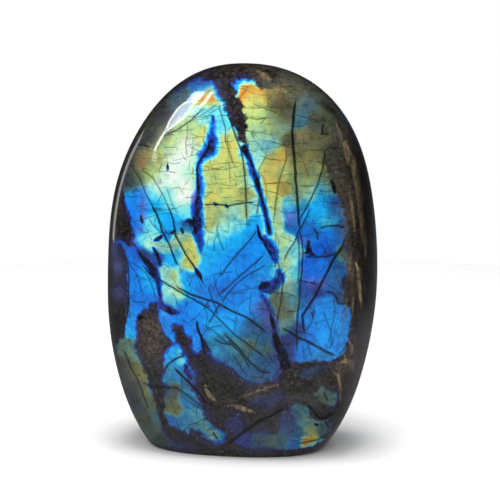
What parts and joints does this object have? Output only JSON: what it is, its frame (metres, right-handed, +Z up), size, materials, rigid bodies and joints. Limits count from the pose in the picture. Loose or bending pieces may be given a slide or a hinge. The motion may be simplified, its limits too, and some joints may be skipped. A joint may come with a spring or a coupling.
{
  "type": "polished labradorite freeform",
  "caption": "Hand-polished egg-shaped slab of dark feldspar with a blue and gold flash, standing upright on a flat sawn base as an ornament.",
  "frame": {"origin": "middle of the stone's overall outline, on the flat sawn base that it stands on", "axes": "+Z up the height of the stone, +X along its width, and the polished show face looks along -Y"},
  "size_m": [0.085, 0.0532, 0.1201],
  "materials": {
    "labradorite": "polished"
  },
  "bodies": {
    "root": {"labradorite_stone": "labradorite"}
  },
  "joints": []
}
